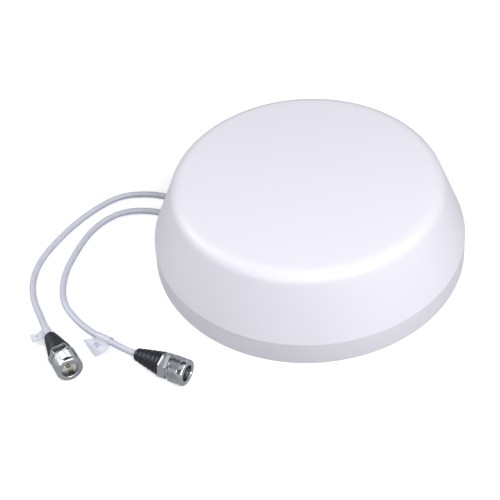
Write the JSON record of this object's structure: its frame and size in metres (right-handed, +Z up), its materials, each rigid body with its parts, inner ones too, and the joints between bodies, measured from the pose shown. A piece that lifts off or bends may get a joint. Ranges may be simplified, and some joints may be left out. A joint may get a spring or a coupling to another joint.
{
  "type": "ceiling antenna",
  "caption": "Shallow white dome antenna of an indoor cellular signal booster, with a flat ceiling-mount base and coaxial pigtails that end in threaded female connectors",
  "frame": {"origin": "middle of the base's underside, on the plane of the rim", "axes": "+Z up through the dome's axis of revolution, away from the ceiling or table that the base lies on; -X towards the notch that the pigtails leave by"},
  "size_m": [0.2617, 0.2567, 0.0573],
  "materials": {
    "white_abs": "fine satin moulding",
    "sheet_aluminium": "mill finish sheet",
    "tinned_sheet": "tinned sheet",
    "natural_nylon": "natural nylon",
    "black_nylon": "satin black",
    "zinc_casting": "plain casting",
    "brass": "turned",
    "gold_plate": "gold plated",
    "ptfe": "waxy white",
    "steel_fastener": "zinc plated",
    "cable_jacket": "smooth jacket",
    "boot_rubber": "ribbed, satin",
    "nickel_plate": "bright nickel",
    "label_film": "white film"
  },
  "bodies": {
    "root": {"radome": "white_abs", "base_plate": "white_abs", "dome_screws": "steel_fastener", "threaded_inserts": "brass", "ground_plane": "sheet_aluminium", "ground_plane_screws": "steel_fastener", "rivets": "sheet_aluminium", "radiator_posts": "natural_nylon", "isolator_wall": "sheet_aluminium", "coax_clips": "natural_nylon", "radiator_1": "tinned_sheet", "feed_block_1": "zinc_casting", "feed_pin_1": "brass", "feed_bush_1": "ptfe", "inner_coax_1": "cable_jacket", "gland_1": "black_nylon", "gland_nut_1": "black_nylon", "cord_1": "cable_jacket", "flag_label_1": "label_film", "boot_1": "boot_rubber", "crimp_ferrule_1": "nickel_plate", "jack_body_1": "nickel_plate", "jack_insulator_1": "ptfe", "jack_contact_1": "gold_plate", "radiator_2": "tinned_sheet", "feed_block_2": "zinc_casting", "feed_pin_2": "brass", "feed_bush_2": "ptfe", "inner_coax_2": "cable_jacket", "gland_2": "black_nylon", "gland_nut_2": "black_nylon", "cord_2": "cable_jacket", "flag_label_2": "label_film", "boot_2": "boot_rubber", "crimp_ferrule_2": "nickel_plate", "jack_body_2": "nickel_plate", "jack_insulator_2": "ptfe", "jack_contact_2": "gold_plate"}
  },
  "joints": []
}
